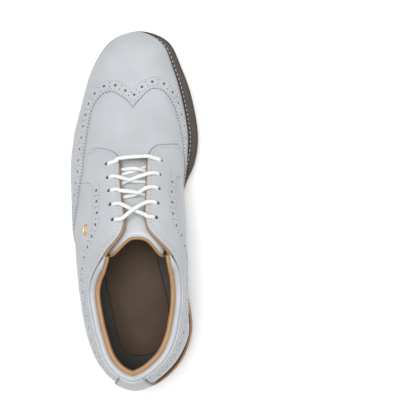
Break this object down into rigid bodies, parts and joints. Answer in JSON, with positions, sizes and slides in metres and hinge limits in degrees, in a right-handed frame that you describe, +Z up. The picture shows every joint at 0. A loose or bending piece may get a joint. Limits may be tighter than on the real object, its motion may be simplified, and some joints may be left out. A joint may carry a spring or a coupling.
{
  "type": "golf shoe",
  "caption": "Left full-brogue lace-up golf shoe with wing tip, leather lining, padded collar, welted sole, low stacked heel and twist-lock soft spikes.",
  "frame": {"origin": "centre of the shoe's footprint, on the plane that the spike tips stand on", "axes": "+Y toward the toe, +Z up, +X to the medial (inner) side of this left shoe"},
  "size_m": [0.1079, 0.3027, 0.1067],
  "materials": {
    "outsole_tpu": "satin",
    "midsole_brown": "burnished edge",
    "welt_brown": "burnished, with white lock-stitch",
    "insole_board": "matt fibre board",
    "cork": "granular",
    "shank_steel": "brushed",
    "footbed_foam": "open foam",
    "footbed_cover": "matt, dimpled",
    "heel_stack": "stacked, burnished",
    "top_lift": "matt",
    "leather_white": "semi-matt, fine grain",
    "leather_tan": "smooth, matt",
    "stiffener": "matt",
    "collar_foam": "open foam",
    "binding_white": "soft, semi-matt",
    "emblem_gold": "polished",
    "lace_white": "braided",
    "aglet_plastic": "clear film",
    "spike_plastic": "satin",
    "receptacle_plastic": "matt"
  },
  "bodies": {
    "shoe": {"outsole": "outsole_tpu", "midsole": "midsole_brown", "welt": "welt_brown", "heel_rand": "welt_brown", "insole_board": "insole_board", "forefoot_filler": "cork", "shank": "shank_steel", "footbed_foam": "footbed_foam", "footbed_cover": "footbed_cover", "heel_block": "heel_stack", "heel_top_lift": "top_lift", "spike_receptacle_1": "receptacle_plastic", "spike_receptacle_2": "receptacle_plastic", "spike_receptacle_3": "receptacle_plastic", "spike_receptacle_4": "receptacle_plastic", "spike_receptacle_5": "receptacle_plastic", "spike_receptacle_6": "receptacle_plastic", "spike_receptacle_7": "receptacle_plastic", "spike_receptacle_8": "receptacle_plastic", "vamp": "leather_white", "wing_tip": "leather_white", "vamp_lining": "leather_tan", "toe_puff": "stiffener", "quarter_lateral": "leather_white", "quarter_medial": "leather_white", "facing_lateral": "leather_white", "facing_medial": "leather_white", "eyestay_tape_lateral": "stiffener", "eyestay_tape_medial": "stiffener", "quarter_lining_lateral": "leather_tan", "quarter_lining_medial": "leather_tan", "heel_lining": "leather_tan", "heel_counter": "stiffener", "collar_foam": "collar_foam", "back_strap": "leather_white", "collar_binding": "binding_white", "emblem": "emblem_gold", "lace": "lace_white", "aglet_1": "aglet_plastic", "aglet_2": "aglet_plastic"},
    "tongue": {"tongue_outer": "leather_white", "tongue_foam": "collar_foam", "tongue_lining": "leather_tan"},
    "spike_body_1": {"spike_1": "spike_plastic"},
    "spike_body_2": {"spike_2": "spike_plastic"},
    "spike_body_3": {"spike_3": "spike_plastic"},
    "spike_body_4": {"spike_4": "spike_plastic"},
    "spike_body_5": {"spike_5": "spike_plastic"},
    "spike_body_6": {"spike_6": "spike_plastic"},
    "spike_body_7": {"spike_7": "spike_plastic"},
    "spike_body_8": {"spike_8": "spike_plastic"}
  },
  "joints": [
    {"name": "tongue_hinge", "type": "hinge", "parent": "shoe", "child": "tongue", "pos_m": [0.004, 0.054, 0.059], "axis": [1, 0, 0], "range_deg": [0, 8], "stiffness_Nm_per_rad": 0.3},
    {"name": "spike_twist_1", "type": "hinge", "parent": "shoe", "child": "spike_body_1", "pos_m": [-0.027, 0.104, 0.00887], "axis": [0, 0.1174, -0.9931], "range_deg": [0, 60]},
    {"name": "spike_twist_2", "type": "hinge", "parent": "shoe", "child": "spike_body_2", "pos_m": [0.024, 0.106, 0.00911], "axis": [0, 0.1184, -0.993], "range_deg": [0, 60]},
    {"name": "spike_twist_3", "type": "hinge", "parent": "shoe", "child": "spike_body_3", "pos_m": [-0.034, 0.06, 0.0055], "axis": [0, -0.0101, -0.9999], "range_deg": [0, 60]},
    {"name": "spike_twist_4", "type": "hinge", "parent": "shoe", "child": "spike_body_4", "pos_m": [0.035, 0.062, 0.00549], "axis": [0, 0.0003, -1], "range_deg": [0, 60]},
    {"name": "spike_twist_5", "type": "hinge", "parent": "shoe", "child": "spike_body_5", "pos_m": [0.003, 0.082, 0.00636], "axis": [0, 0.0851, -0.9964], "range_deg": [0, 60]},
    {"name": "spike_twist_6", "type": "hinge", "parent": "shoe", "child": "spike_body_6", "pos_m": [-0.024, -0.098, 0.005], "axis": [0, 0, -1], "range_deg": [0, 60]},
    {"name": "spike_twist_7", "type": "hinge", "parent": "shoe", "child": "spike_body_7", "pos_m": [0.03, -0.1, 0.005], "axis": [0, 0, -1], "range_deg": [0, 60]},
    {"name": "spike_twist_8", "type": "hinge", "parent": "shoe", "child": "spike_body_8", "pos_m": [0.003, -0.134, 0.005], "axis": [0, 0, -1], "range_deg": [0, 60]}
  ]
}
